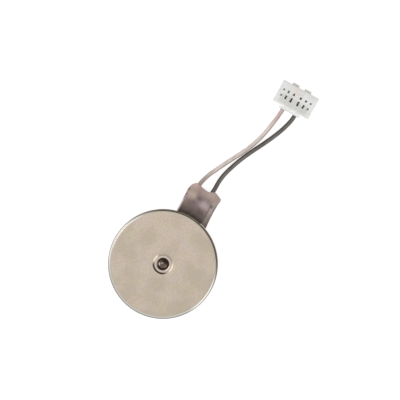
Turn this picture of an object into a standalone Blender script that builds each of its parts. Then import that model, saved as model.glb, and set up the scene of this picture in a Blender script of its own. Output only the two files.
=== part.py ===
"""Vibration coin motor, 10 mm across and 2.7 mm thick, with two leads and a two-way plug.

The origin is the centre of the bracket's underside, on the shaft's axis. +Z runs up through
the dimple in the case, and +X runs along the tongue that the leads are soldered to. The sizes
below are in millimetres, and MM turns them into metres.
"""

from math import acos, cos, degrees, pi, radians, sin

import bmesh
import bpy
from mathutils import Matrix, Vector

MM = 0.001
WELD = 1e-6  # metres within which points are one
TOUCH = 0.01  # the gap that stands for two faces in contact
RUNNING_FIT = 0.02  # the gap between pieces that slide or turn on each other

# The case: a pressed cup, open downwards, with a dimple round the shaft's end.
CASE_RADIUS = 5.0
CASE_TOP = 2.70
CASE_SHEET = 0.20
CASE_RIM_Z = 0.02
SHOULDER_RADIUS = 0.25
DIMPLE_DEPTH = 0.10
DIMPLE_RADII = (0.79, 0.94)  # of its floor and of its rim
DIMPLE_BACK = (0.09, 0.07)  # how much wider the floor and the rim are inside the cup
HOLE_MOUTH_RADIUS = 0.58
HOLE_STRAIGHT = 0.07  # the hole's upright wall, under its flare
INSIDE_CHAMFER = 0.08
NOTCH_HALF_WIDTH = 1.25
NOTCH_TOP = 0.62

# The bracket: the base plate, with the tongue and the shaft's seat.
BRACKET_RADIUS = CASE_RADIUS - CASE_SHEET - RUNNING_FIT
BRACKET_TOP = 0.25
SEAT_FLOOR = 0.10
COLLAR_RADIUS = 0.85
COLLAR_TOP = 0.88
TONGUE_HALF_WIDTH = 1.15
TONGUE_END = 7.75
TONGUE_UNDERSIDE = 0.10
TONGUE_ROOT = 0.5  # how far it runs into the plate
TONGUE_CORNER = 0.25

SHAFT_RADIUS = 0.45
SHAFT_TOP = 2.53
# share of the shaft's radius, and how far its domed end has dropped there
SHAFT_DOME = [(0.0, 0.0), (0.5, 0.02), (0.85, 0.06), (1.0, 0.12)]

# The stack on the bracket, from the bottom up.
CIRCUIT = (BRACKET_TOP + TOUCH, 0.34)
COPPER = (CIRCUIT[1] + TOUCH, 0.38)
MAGNET = (COPPER[1] + TOUCH, 0.89)
WASHER_LOW = (COLLAR_TOP + TOUCH, 0.95)
WASHER_HIGH = (2.33, CASE_TOP - CASE_SHEET - DIMPLE_DEPTH)
CIRCUIT_RADIUS = 4.3
CIRCUIT_HOLE = 0.92
CIRCUIT_INSET = 0.05  # from the tongue's edges to the tail's
CIRCUIT_TAIL_ANGLE = 15  # from +X to where the ring meets the tail
MAGNET_RADII = (1.95, 4.20)
WASHER_RADII = (0.47, 0.80)

# Leaf brushes: each climbs round the collar from its pad to the commutator.
BRUSH_RADIUS = 1.42
BRUSH_WIDTH = 0.36
BRUSH_SHEET = 0.05
BRUSH_ARC = (18, 135)
BRUSH_FLAT = 0.2  # share of its length that lies on its pad
BRUSH_FORK = 0.45  # share of its length where the fork starts
BRUSH_SLOT = 0.2  # half width of the fork's slot, as a share of the leaf's
BRUSH_PAD = (1.05, 0.42, 1.70, 0.98)
SOLDER_PAD = (5.90, 0.30, 7.45, 1.00)
TRACE_Y = (0.45, 0.75)

# The rotor: a half moon that is heavy on its -X side.
BOARD = (1.10, 1.30)
BOARD_RADIUS = 4.4
BOARD_CHORD = 1.75
COMMUTATOR = (1.06, 1.09)
COMMUTATOR_RADII = (0.97, 1.72)
COMMUTATOR_GAP = 0.10
SEGMENTS = 6
BUSH = (0.97, 2.31)
BUSH_RADII = (SHAFT_RADIUS + RUNNING_FIT, 0.85)
MOULDING = (1.31, 2.20)
MOULDING_RADIUS = 4.5
MOULDING_CHORD = 1.4
COIL = (1.32, 2.02)
COIL_RADII = (0.55, 1.45)
COIL_CENTRE_RADIUS = 2.75
COIL_ANGLES = (100, 260)
WEIGHT_RADII = (2.2, 4.5)
WEIGHT_ARC = (137, 223)

CUT_PAST = 0.2  # how far a cutter runs past what it cuts

# The film folded round the tongue, over the solder joints.
TAPE_SHEET = 0.06
TAPE_SECTION = [
    (-1.78, 0.02),
    (-1.78, 0.17),
    (-1.34, 0.24),
    (-1.16, 0.72),
    (-0.92, 0.93),
    (0.86, 0.93),
    (1.08, 0.74),
    (1.22, 0.30),
    (1.32, 0.20),
    (1.32, 0.02),
]
TAPE_STATIONS = [(5.04, 0.62), (5.60, 0.72), (6.10, 1.00), (7.35, 1.00), (8.03, 0.95)]
SOLDER_AT = {"positive": (6.84, 0.62), "negative": (6.48, -0.74)}
SOLDER_SIZE = (0.52, 0.32)
SOLDER_TOP = 0.80
SOLDER_ANGLES = (0, 20, 40, 60, 78)  # from the dome's top, where its outline has points

# The leads. Each route runs from the solder joint to the crimp in the plug, through points
# on the lead's centre line, and lies on the surface that the motor rests on.
JACKET_RADIUS = 0.20
JACKET_WALL = 0.075
CONDUCTOR_RADIUS = 0.11
JACKET_SPAN = (7.80, 18.15)
LEAD_STEP = 0.50
ROUTE_RED = [
    (6.20, 0.62, 0.50),
    (7.40, 0.62, 0.50),
    (8.20, 0.56, 0.46),
    (9.10, 0.29, 0.31),
    (10.00, -0.14, 0.22),
    (11.00, -0.64, 0.21),
    (12.00, -1.18, 0.21),
    (13.00, -1.69, 0.21),
    (14.00, -2.07, 0.21),
    (15.00, -2.34, 0.24),
    (16.00, -2.53, 0.34),
    (17.00, -2.67, 0.53),
    (17.70, -2.72, 0.62),
    (18.55, -2.72, 0.62),
]
ROUTE_BLACK = [
    (5.86, -0.74, 0.50),
    (7.40, -0.76, 0.50),
    (8.20, -0.82, 0.46),
    (9.10, -0.84, 0.32),
    (10.00, -0.99, 0.22),
    (11.00, -1.31, 0.21),
    (12.00, -1.70, 0.21),
    (13.00, -2.18, 0.21),
    (14.00, -2.70, 0.21),
    (15.00, -3.18, 0.22),
    (16.00, -3.59, 0.33),
    (17.00, -3.88, 0.52),
    (17.70, -3.96, 0.62),
    (18.55, -3.96, 0.62),
]

# The plug. Its contacts are on a 1.24 mm pitch, and both are CONTACT_Z above the surface.
PLUG_Y = -3.34
PLUG_X = (17.95, 20.08)
PLUG_HALF_WIDTH = 1.85
PLUG_HEIGHT = 1.30
PLUG_BEVEL = 0.08
PLUG_JOIN = 0.2  # how far the lip and the tabs run into the block
LIP_X = 17.66
LIP_HALF_WIDTH = 1.05
LIP_Z = (0.12, 1.12)
CONTACT_DY = 0.62
CONTACT_Z = 0.62
TAB_X = 20.30
TAB_HALF_WIDTH = 0.34
TAB_Z = (0.30, 0.94)
CAVITY_HALF = (0.31, 0.35)
CAVITY_X = (17.50, 19.94)
PIN_HALF = 0.18
WINDOW_DEPTH = 0.42
WINDOW_ROWS = [
    # (x from, x to, half width in y), at the distances from the plug's centre line below
    [(18.54, 18.96, 0.10), (18.57, 18.92, 0.09), (18.66, 18.83, 0.085)],
    [(19.20, 19.40, 0.10), (19.20, 19.40, 0.09), (19.22, 19.39, 0.085)],
]
WINDOW_DY = (0.36, 0.90, 1.38)
TERMINAL_SHEET = 0.05
TERMINAL_STATIONS = [
    # (x, half size, 0 for a round section to 1 for a square one)
    (17.80, 0.28, 0.0),
    (18.12, 0.28, 0.0),
    (18.24, 0.19, 0.0),
    (18.50, 0.19, 0.0),
    (18.66, 0.24, 1.0),
    (19.88, 0.24, 1.0),
]

# name: (sRGB colour, metallic, roughness)
LOOKS = {
    "nickel plated steel": ("#C2B4A3", 1.0, 0.32),
    "stainless steel": ("#B4B1AA", 1.0, 0.35),
    "ground shaft steel": ("#C9C8C4", 1.0, 0.15),
    "polyimide circuit": ("#9A5A1E", 0.0, 0.45),
    "copper": ("#C47A4A", 1.0, 0.35),
    "brown film": ("#7D6C64", 0.0, 0.35),
    "solder": ("#BFC0BF", 1.0, 0.30),
    "pink insulation": ("#C9A79C", 0.0, 0.45),
    "black insulation": ("#45423F", 0.0, 0.45),
    "tinned copper": ("#C9BDAA", 1.0, 0.40),
    "white nylon": ("#E4E1DC", 0.0, 0.50),
    "tinned phosphor bronze": ("#CFC3A8", 1.0, 0.35),
    "magnet nickel": ("#8D8C89", 1.0, 0.40),
    "brush alloy": ("#D3B572", 1.0, 0.30),
    "washer film": ("#2E2C2A", 0.0, 0.60),
    "green board": ("#2F5B3A", 0.0, 0.50),
    "gilded copper": ("#D8A94B", 1.0, 0.28),
    "enamelled copper": ("#A5532A", 0.8, 0.35),
    "tungsten alloy": ("#6F6E6C", 1.0, 0.45),
    "black moulding": ("#26262A", 0.0, 0.55),
    "bearing bronze": ("#9C7B45", 1.0, 0.45),
}


def linear(hex_colour):
    """The linear RGBA of an sRGB colour written as #RRGGBB."""
    channels = [int(hex_colour[i : i + 2], 16) / 255 for i in (1, 3, 5)]
    rgb = [c / 12.92 if c <= 0.04045 else ((c + 0.055) / 1.055) ** 2.4 for c in channels]
    return (*rgb, 1.0)


def look(name):
    """The material of this name, made on first use."""
    if name in bpy.data.materials:
        return bpy.data.materials[name]
    colour, metallic, roughness = LOOKS[name]
    made = bpy.data.materials.new(name)
    made.use_nodes = True
    made.diffuse_color = linear(colour)
    shader = made.node_tree.nodes["Principled BSDF"]
    shader.inputs["Base Color"].default_value = linear(colour)
    shader.inputs["Metallic"].default_value = metallic
    shader.inputs["Roughness"].default_value = roughness
    return made


def clear_scene():
    for obj in list(bpy.data.objects):
        bpy.data.objects.remove(obj, do_unlink=True)
    for name in ("vibration_coin_motor", "cutters"):
        if name in bpy.data.collections:
            bpy.data.collections.remove(bpy.data.collections[name])
        made = bpy.data.collections.new(name)
        bpy.context.scene.collection.children.link(made)


def add(name, data, look_name=None):
    """A new object: a piece of the motor if it has a look, else a cutter."""
    obj = bpy.data.objects.new(name, data)
    if look_name:
        data.materials.append(look(look_name))
        bpy.data.collections["vibration_coin_motor"].objects.link(obj)
        return obj
    bpy.data.collections["cutters"].objects.link(obj)
    obj.hide_render = True
    obj.display_type = "WIRE"
    return obj


def arc(radius, start, end, count, centre=(0.0, 0.0)):
    """count + 1 points from start to end degrees."""
    turns = [radians(start + (end - start) * i / count) for i in range(count + 1)]
    return [(centre[0] + radius * cos(a), centre[1] + radius * sin(a)) for a in turns]


def circle(radius, count):
    return arc(radius, 0, 360, count)[:-1]


def rounded_box(x0, y0, x1, y1, radius):
    """The outline of a rectangle with round corners."""
    left, right, low, high = x0 + radius, x1 - radius, y0 + radius, y1 - radius
    corners = [(right, high, 0), (left, high, 90), (left, low, 180), (right, low, 270)]
    return [p for x, y, a in corners for p in arc(radius, a, a + 90, 3, (x, y))]


def turned(name, profile, look_name=None, steps=48, centre=(0.0, 0.0)):
    """A profile of (radius, z), which runs down its outer side, turned about the Z axis."""
    mesh = bpy.data.meshes.new(name)
    points = [(r * MM, 0.0, z * MM) for r, z in profile]
    last = len(points) - 1
    closed = profile[0][0] > 0 or profile[-1][0] > 0
    edges = [(i, i + 1) for i in range(last)] + ([(last, 0)] if closed else [])
    mesh.from_pydata(points, edges, [])
    obj = add(name, mesh, look_name)
    obj.location = (centre[0] * MM, centre[1] * MM, 0.0)
    screw = obj.modifiers.new("Turn", "SCREW")
    screw.axis = "Z"
    screw.angle = 2 * pi
    screw.steps = steps
    screw.render_steps = steps
    screw.use_merge_vertices = True
    screw.merge_threshold = WELD
    screw.use_smooth_shade = False
    return obj


def ring(name, radii, levels, look_name=None, steps=32, centre=(0.0, 0.0)):
    """A plain ring between two radii and two heights."""
    (inner, outer), (low, high) = radii, levels
    profile = [(outer, high), (outer, low), (inner, low), (inner, high)]
    return turned(name, profile, look_name, steps, centre)


def plate(name, outlines, levels, look_name=None):
    """Flat outlines, the first one outside and any others holes, between two heights."""
    low, high = levels
    curve = bpy.data.curves.new(name, "CURVE")
    curve.dimensions = "2D"
    curve.fill_mode = "BOTH"
    curve.extrude = (high - low) / 2 * MM
    for outline in outlines:
        spline = curve.splines.new("POLY")
        spline.points.add(len(outline) - 1)
        for point, (x, y) in zip(spline.points, outline):
            point.co = (x * MM, y * MM, 0.0, 1.0)
        spline.use_cyclic_u = True
    obj = add(name, curve, look_name)
    obj.location.z = (low + high) / 2 * MM
    return obj


def rod(name, route, radius, look_name=None, capped=True):
    """A round bar along a list of (x, y, z) points, with eight sides."""
    curve = bpy.data.curves.new(name, "CURVE")
    curve.dimensions = "3D"
    curve.twist_mode = "Z_UP"
    curve.bevel_depth = radius * MM
    curve.bevel_resolution = 2
    curve.use_fill_caps = capped
    spline = curve.splines.new("POLY")
    spline.points.add(len(route) - 1)
    for point, place in zip(spline.points, route):
        point.co = (*(Vector(place) * MM), 1.0)
    return add(name, curve, look_name)


def boxes(name, corners, look_name=None):
    """Boxes given by their lowest and highest corners, in one mesh."""
    shape = bmesh.new()
    for low, high in corners:
        size = Vector(high) - Vector(low)
        middle = (Vector(high) + Vector(low)) / 2
        place = Matrix.Translation(middle * MM) @ Matrix.Diagonal((*(size * MM), 1.0))
        bmesh.ops.create_cube(shape, size=1.0, matrix=place)
    mesh = bpy.data.meshes.new(name)
    shape.to_mesh(mesh)
    shape.free()
    return add(name, mesh, look_name)


def loft(name, sections, closed, look_name):
    """An open surface through sections, which are equal lists of (x, y, z) points."""
    shape = bmesh.new()
    rows = [[shape.verts.new(Vector(p) * MM) for p in section] for section in sections]
    count = len(sections[0])
    for near, far in zip(rows, rows[1:]):
        for i in range(count if closed else count - 1):
            j = (i + 1) % count
            shape.faces.new((near[i], near[j], far[j], far[i]))
    bmesh.ops.recalc_face_normals(shape, faces=shape.faces)
    mesh = bpy.data.meshes.new(name)
    shape.to_mesh(mesh)
    shape.free()
    return add(name, mesh, look_name)


def solidify(obj, thickness, offset):
    """Thicken an open surface, inwards when the offset is -1 and its faces point out."""
    shell = obj.modifiers.new("Sheet", "SOLIDIFY")
    shell.thickness = thickness * MM
    shell.offset = offset


def combine(obj, operation, other):
    step = obj.modifiers.new(f"{operation.title()} {other.name}", "BOOLEAN")
    step.operation = operation
    step.object = other


def as_mesh(obj):
    """The same piece as a mesh with its caps welded, because a curve takes no Boolean."""
    graph = bpy.context.evaluated_depsgraph_get()
    mesh = bpy.data.meshes.new_from_object(obj.evaluated_get(graph))
    shape = bmesh.new()
    shape.from_mesh(mesh)
    bmesh.ops.remove_doubles(shape, verts=shape.verts, dist=WELD)
    shape.to_mesh(mesh)
    shape.free()
    name = obj.name
    obj.name = f"{name} curve"
    made = bpy.data.objects.new(name, mesh)
    made.matrix_world = obj.matrix_world
    made.hide_render = obj.hide_render
    made.display_type = obj.display_type
    obj.users_collection[0].objects.link(made)
    bpy.data.objects.remove(obj, do_unlink=True)
    return made


def smooth_route(route, step):
    """Points about a step apart on a Catmull-Rom curve through the route's own points."""
    ends = [Vector(p) for p in route]
    ends = [2 * ends[0] - ends[1], *ends, 2 * ends[-1] - ends[-2]]
    points = []
    for before, start, end, after in zip(ends, ends[1:], ends[2:], ends[3:]):
        count = max(1, round((end - start).length / step))
        leave, arrive = (end - before) / 2, (after - start) / 2
        for i in range(count):
            t = i / count
            points.append(
                (2 * t**3 - 3 * t**2 + 1) * start
                + (t**3 - 2 * t**2 + t) * leave
                + (3 * t**2 - 2 * t**3) * end
                + (t**3 - t**2) * arrive
            )
    return [*points, ends[-2]]


def make_case():
    """The cup: its top, rolled shoulder, wall and inside, and the flared hole in its dimple."""
    wall = CASE_RADIUS - CASE_SHEET
    under_top = CASE_TOP - CASE_SHEET
    hole = SHAFT_RADIUS + TOUCH
    flat = CASE_RADIUS - SHOULDER_RADIUS
    shoulder = arc(SHOULDER_RADIUS, 90, 0, 4, (flat, CASE_TOP - SHOULDER_RADIUS))
    floor_radius, rim_radius = DIMPLE_RADII
    floor = CASE_TOP - DIMPLE_DEPTH
    under_floor = under_top - DIMPLE_DEPTH + TOUCH
    profile = [
        (rim_radius, CASE_TOP),
        *shoulder,
        (CASE_RADIUS, CASE_RIM_Z),
        (wall, CASE_RIM_Z),
        (wall, under_top - INSIDE_CHAMFER),
        (wall - INSIDE_CHAMFER, under_top),
        (rim_radius + DIMPLE_BACK[1], under_top),
        (floor_radius + DIMPLE_BACK[0], under_floor),
        (hole, under_floor),
        (hole, under_floor + HOLE_STRAIGHT),
        (HOLE_MOUTH_RADIUS, floor),
        (floor_radius, floor),
    ]
    case = turned("case", profile, "nickel plated steel")
    low = (wall / 2, -NOTCH_HALF_WIDTH, -CUT_PAST)
    high = (CASE_RADIUS + CUT_PAST, NOTCH_HALF_WIDTH, NOTCH_TOP)
    combine(case, "DIFFERENCE", boxes("case notch", [(low, high)]))


def make_bracket():
    """The base plate, drawn up into a collar with a blind seat for the shaft."""
    seat = SHAFT_RADIUS + TOUCH
    profile = [
        (0.0, SEAT_FLOOR),
        (seat, SEAT_FLOOR),
        (seat, COLLAR_TOP),
        (COLLAR_RADIUS, COLLAR_TOP),
        (COLLAR_RADIUS, BRACKET_TOP),
        (BRACKET_RADIUS, BRACKET_TOP),
        (BRACKET_RADIUS, 0.0),
        (0.0, 0.0),
    ]
    bracket = turned("bracket", profile, "stainless steel")
    half, inside = TONGUE_HALF_WIDTH, BRACKET_RADIUS - TONGUE_ROOT
    outline = rounded_box(inside, -half, TONGUE_END, half, TONGUE_CORNER)
    tongue = plate("bracket tongue", [outline], (TONGUE_UNDERSIDE, BRACKET_TOP))
    combine(bracket, "UNION", as_mesh(tongue))


def make_shaft():
    """The fixed pin, from the bracket's seat to the case's dimple, with a domed top."""
    dome = [(SHAFT_RADIUS * share, SHAFT_TOP - drop) for share, drop in SHAFT_DOME]
    bottom = SEAT_FLOOR + TOUCH
    turned("shaft", [*dome, (SHAFT_RADIUS, bottom), (0.0, bottom)], "ground shaft steel")


def make_circuit():
    """The flexible circuit: a ring round the collar, with a tail along the tongue."""
    half, end = TONGUE_HALF_WIDTH - CIRCUIT_INSET, TONGUE_END - CIRCUIT_INSET
    ring_part = arc(CIRCUIT_RADIUS, CIRCUIT_TAIL_ANGLE, 360 - CIRCUIT_TAIL_ANGLE, 32)
    outer = [(end, -half), (end, half), *ring_part]
    hole = circle(CIRCUIT_HOLE, 24)
    plate("flexible_circuit", [outer, hole], CIRCUIT, "polyimide circuit")
    x0, y0, x1, y1 = SOLDER_PAD
    u0, v0, u1, v1 = BRUSH_PAD
    low, high = TRACE_Y
    copper = [(x1, y0), (x1, y1), (x0, y1), (x0, high), (u1, high), (u1, v1)]
    copper += [(u0, v1), (u0, v0), (u1, v0), (u1, low), (x0, low), (x0, y0)]
    for name, side in (("trace_positive", 1), ("trace_negative", -1)):
        plate(name, [[(x, side * y) for x, y in copper]], COPPER, "copper")


def make_brush(name, side):
    """A leaf that lies flat on its pad, then climbs along an arc to a forked tip."""
    foot = COPPER[1] + RUNNING_FIT + BRUSH_SHEET / 2
    tip = COMMUTATOR[0] - RUNNING_FIT - BRUSH_SHEET / 2
    start, end = BRUSH_ARC
    shape = bmesh.new()
    bmesh.ops.create_grid(shape, x_segments=12, y_segments=3, size=1.0)
    slot = [
        face
        for face in shape.faces
        if abs(face.calc_center_median().y) < BRUSH_SLOT
        and face.calc_center_median().x > 2 * BRUSH_FORK - 1
    ]
    bmesh.ops.delete(shape, geom=slot, context="FACES")
    for vertex in shape.verts:
        along, across = (vertex.co.x + 1) / 2, vertex.co.y
        climb = max(0.0, (along - BRUSH_FLAT) / (1 - BRUSH_FLAT))
        eased = climb * climb * (3 - 2 * climb)
        angle = radians(start + (end - start) * along)
        radius = BRUSH_RADIUS + across * BRUSH_WIDTH / 2
        place = (radius * cos(angle), side * radius * sin(angle), foot + (tip - foot) * eased)
        vertex.co = Vector(place) * MM
    bmesh.ops.recalc_face_normals(shape, faces=shape.faces)
    mesh = bpy.data.meshes.new(name)
    shape.to_mesh(mesh)
    shape.free()
    solidify(add(name, mesh, "brush alloy"), BRUSH_SHEET, 0.0)


def make_solder(name, at, route):
    """A solder dome on its pad, with a way through it for the conductor."""
    length, width = SOLDER_SIZE
    low = COPPER[1] + TOUCH
    tall = SOLDER_TOP - low
    turns = [radians(angle) for angle in SOLDER_ANGLES]
    quarter = [(length * sin(turn), low + tall * cos(turn)) for turn in turns]
    dome = turned(name, [*quarter, (length, low), (0.0, low)], "solder", 20, at)
    dome.scale.y = width / length
    start, end = Vector(route[0]), Vector(route[1])
    way = rod(f"{name} way", [2 * start - end, end], CONDUCTOR_RADIUS + TOUCH)
    combine(dome, "DIFFERENCE", as_mesh(way))


def make_tape():
    """The film: one folded section, lower near the case than over the solder joints."""
    base = TAPE_SECTION[0][1]
    sections = [
        [(x, y, base + (z - base) * share) for y, z in TAPE_SECTION]
        for x, share in TAPE_STATIONS
    ]
    film = loft("insulating_tape", sections, True, "brown film")
    solidify(film, TAPE_SHEET, -1.0)


def make_lead(colour, route, jacket_look):
    """A stranded conductor, and the jacket over all of it but its ends."""
    points = smooth_route(route, LEAD_STEP)
    rod(f"conductor_{colour}", points, CONDUCTOR_RADIUS, "tinned copper")
    first, last = JACKET_SPAN
    covered = [p for p in points if first <= p.x <= last]
    jacket = rod(f"lead_jacket_{colour}", covered, JACKET_RADIUS, jacket_look, capped=False)
    solidify(jacket, JACKET_WALL, -1.0)


def make_terminal(name, y):
    """A crimp contact: round where it grips the lead, square where a pin goes in."""
    sections = []
    for x, half, square in TERMINAL_STATIONS:
        section = []
        for angle in range(-255, 76, 15):
            across, up = cos(radians(angle)), sin(radians(angle))
            reach = half * (1 + square * (1 / max(abs(across), abs(up)) - 1))
            section.append((x, y + reach * across, CONTACT_Z + reach * up))
        sections.append(section)
    shell = loft(name, sections, False, "tinned phosphor bronze")
    solidify(shell, TERMINAL_SHEET, -1.0)


def make_plug():
    """The housing: a block with a lip behind, two nose tabs, two cavities and 12 windows."""
    front, back, half = PLUG_X[1], PLUG_X[0], PLUG_HALF_WIDTH
    body = [((back, PLUG_Y - half, 0.0), (front, PLUG_Y + half, PLUG_HEIGHT))]
    housing = boxes("plug_housing", body, "white nylon")
    bevel = housing.modifiers.new("Edges", "BEVEL")
    bevel.width = PLUG_BEVEL * MM
    bevel.segments = 1
    ends = [
        (
            (LIP_X, PLUG_Y - LIP_HALF_WIDTH, LIP_Z[0]),
            (back + PLUG_JOIN, PLUG_Y + LIP_HALF_WIDTH, LIP_Z[1]),
        )
    ]
    cavities, pins = [], []
    for y in (PLUG_Y + CONTACT_DY, PLUG_Y - CONTACT_DY):
        wide, tall = CAVITY_HALF
        ends.append(
            (
                (front - PLUG_JOIN, y - TAB_HALF_WIDTH, TAB_Z[0]),
                (TAB_X, y + TAB_HALF_WIDTH, TAB_Z[1]),
            )
        )
        cavities.append(
            (
                (CAVITY_X[0], y - wide, CONTACT_Z - tall),
                (CAVITY_X[1], y + wide, CONTACT_Z + tall),
            )
        )
        pins.append(
            (
                (CAVITY_X[1] - CUT_PAST, y - PIN_HALF, CONTACT_Z - PIN_HALF),
                (TAB_X + CUT_PAST, y + PIN_HALF, CONTACT_Z + PIN_HALF),
            )
        )
    windows = []
    for row in WINDOW_ROWS:
        for (x0, x1, wide), distance in zip(row, WINDOW_DY):
            for y in (PLUG_Y + distance, PLUG_Y - distance):
                top = PLUG_HEIGHT + CUT_PAST
                low = (x0, y - wide, PLUG_HEIGHT - WINDOW_DEPTH)
                windows.append((low, (x1, y + wide, top)))
    combine(housing, "UNION", boxes("plug ends", ends))
    combine(housing, "DIFFERENCE", boxes("plug cavities", cavities))
    combine(housing, "DIFFERENCE", boxes("plug pin ways", pins))
    combine(housing, "DIFFERENCE", boxes("plug windows", windows))


def half_moon(radius, chord, hole, count):
    """The outlines of a disc cut off at x = chord, with a round hole at its centre."""
    start = degrees(acos(chord / radius))
    return [arc(radius, start, 360 - start, count), circle(hole, 24)]


def make_commutator():
    """The segments under the board, set apart by gaps of one width."""
    inner, outer = COMMUTATOR_RADII
    share = 360 / SEGMENTS
    for i in range(SEGMENTS):
        cut_out = COMMUTATOR_GAP / outer / 2 * 180 / pi
        cut_in = COMMUTATOR_GAP / inner / 2 * 180 / pi
        start, end = i * share, (i + 1) * share
        far = arc(outer, start + cut_out, end - cut_out, 5)
        near = arc(inner, end - cut_in, start + cut_in, 4)
        plate(f"commutator_segment_{i + 1}", [far + near], COMMUTATOR, "gilded copper")


def make_rotor():
    """Everything that turns: board, commutator, coils, weight, moulding and bearing."""
    bore = BUSH_RADII[1] + RUNNING_FIT
    board = half_moon(BOARD_RADIUS, BOARD_CHORD, bore, 36)
    plate("rotor_board", board, BOARD, "green board")
    make_commutator()
    moulding = as_mesh(
        plate(
            "rotor_moulding",
            half_moon(MOULDING_RADIUS, MOULDING_CHORD, bore, 36),
            MOULDING,
            "black moulding",
        )
    )
    inner, outer = COIL_RADII
    pocket_radii = (inner - RUNNING_FIT, outer + RUNNING_FIT)
    pocket_levels = (MOULDING[0] - CUT_PAST, COIL[1] + RUNNING_FIT)
    for number, angle in enumerate(COIL_ANGLES, 1):
        centre = arc(COIL_CENTRE_RADIUS, angle, angle, 1)[0]
        ring(f"coil_{number}", COIL_RADII, COIL, "enamelled copper", 28, centre)
        pocket = ring(f"coil pocket {number}", pocket_radii, pocket_levels, None, 28, centre)
        combine(moulding, "DIFFERENCE", pocket)
    start, end = WEIGHT_ARC
    near, far = WEIGHT_RADII
    weight = arc(far, start, end, 10) + arc(near, end, start, 6)
    plate("counterweight", [weight], (COIL[0], MOULDING[1]), "tungsten alloy")
    gap = RUNNING_FIT / near * 180 / pi
    around = arc(far + CUT_PAST, start - gap, end + gap, 10)
    around += arc(near - RUNNING_FIT, end + gap, start - gap, 6)
    levels = (MOULDING[0] - CUT_PAST, MOULDING[1] + CUT_PAST)
    combine(moulding, "DIFFERENCE", as_mesh(plate("weight pocket", [around], levels)))
    ring("bearing_bush", BUSH_RADII, BUSH, "bearing bronze", 24)


def main():
    clear_scene()
    make_case()
    make_bracket()
    make_shaft()
    make_circuit()
    ring("ring_magnet", MAGNET_RADII, MAGNET, "magnet nickel", 48)
    ring("thrust_washer_lower", WASHER_RADII, WASHER_LOW, "washer film", 24)
    ring("thrust_washer_upper", WASHER_RADII, WASHER_HIGH, "washer film", 24)
    make_brush("brush_positive", 1)
    make_brush("brush_negative", -1)
    make_solder("lead_solder_positive", SOLDER_AT["positive"], ROUTE_RED)
    make_solder("lead_solder_negative", SOLDER_AT["negative"], ROUTE_BLACK)
    make_tape()
    make_lead("red", ROUTE_RED, "pink insulation")
    make_lead("black", ROUTE_BLACK, "black insulation")
    make_plug()
    make_terminal("terminal_red", PLUG_Y + CONTACT_DY)
    make_terminal("terminal_black", PLUG_Y - CONTACT_DY)
    make_rotor()


main()
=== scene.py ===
from math import cos, pi, radians, sin

import bpy
import numpy as np
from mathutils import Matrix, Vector


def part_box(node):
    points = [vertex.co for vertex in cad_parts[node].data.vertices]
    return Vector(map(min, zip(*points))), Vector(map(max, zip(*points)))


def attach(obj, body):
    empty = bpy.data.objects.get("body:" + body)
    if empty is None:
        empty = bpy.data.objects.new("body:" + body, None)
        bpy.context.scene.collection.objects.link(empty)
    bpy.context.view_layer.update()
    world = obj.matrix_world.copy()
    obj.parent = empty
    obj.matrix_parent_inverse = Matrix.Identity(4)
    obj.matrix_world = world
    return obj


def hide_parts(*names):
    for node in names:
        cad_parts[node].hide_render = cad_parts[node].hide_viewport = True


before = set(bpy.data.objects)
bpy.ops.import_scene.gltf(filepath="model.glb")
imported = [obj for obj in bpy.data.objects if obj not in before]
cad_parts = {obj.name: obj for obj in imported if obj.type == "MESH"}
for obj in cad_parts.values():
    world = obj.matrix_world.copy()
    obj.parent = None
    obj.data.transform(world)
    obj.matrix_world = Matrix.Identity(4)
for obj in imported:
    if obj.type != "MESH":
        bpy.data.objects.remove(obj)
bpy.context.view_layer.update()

mm = 0.001
stator, rotor = "stator", "rotor"


# meshes from arrays

def addPiece(name, points, faces, crease=40):
    # points are in mm; faces are turned round if they enclose a negative volume
    points = np.asarray(points, float).reshape(-1, 3)
    corners = [np.asarray(f) for f in faces if len(f)]
    volume = 0.0
    for group in corners:
        a, b, c = points[group[:, 0]], points[group[:, 1]], points[group[:, 2]]
        volume += np.einsum("ij,ij->", a, np.cross(b, c))
        if group.shape[1] == 4:
            volume += np.einsum("ij,ij->", a, np.cross(c, points[group[:, 3]]))
    if volume < 0:
        corners = [group[:, ::-1] for group in corners]
    mesh = bpy.data.meshes.new(name)
    mesh.from_pydata((points * mm).tolist(), [], [f for group in corners for f in group.tolist()])
    mesh.shade_smooth()
    mesh.set_sharp_from_angle(angle=radians(crease))
    piece = bpy.data.objects.new(name, mesh)
    bpy.context.scene.collection.objects.link(piece)
    return piece


def gridFaces(rows, columns, wrapRows, wrapColumns):
    # every cell of a grid as four corner numbers, joined end to start where it wraps
    i = np.arange(rows if wrapRows else rows - 1)[:, None]
    j = np.arange(columns if wrapColumns else columns - 1)[None, :]
    nextRow, nextColumn = (i + 1) % rows, (j + 1) % columns
    cells = [i * columns + j, nextRow * columns + j, nextRow * columns + nextColumn, i * columns + nextColumn]
    return np.stack(cells, -1).reshape(-1, 4)


def gridPiece(name, grid, wrapRows=False, wrapColumns=True, capped=False, crease=40):
    # a surface over two parameters; capped closes its first and last row with a fan
    rows, columns = grid.shape[:2]
    points, faces = grid.reshape(-1, 3), [gridFaces(rows, columns, wrapRows, wrapColumns)]
    if capped:
        points = np.concatenate([points, grid[0].mean(0)[None], grid[-1].mean(0)[None]])
        j = np.arange(columns)
        k, centre, last = (j + 1) % columns, rows * columns, (rows - 1) * columns
        faces.append(np.stack([0 * j + centre, j, k], -1))
        faces.append(np.stack([0 * j + centre + 1, last + k, last + j], -1))
    return addPiece(name, points, faces, crease)


def arcOf(centre, radius, start, end, count):
    # an arc in the (radius, height) plane, angles in degrees
    angle = np.radians(np.linspace(start, end, count))
    return np.stack([centre[0] + radius * np.cos(angle), centre[1] + radius * np.sin(angle)], -1)


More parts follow.
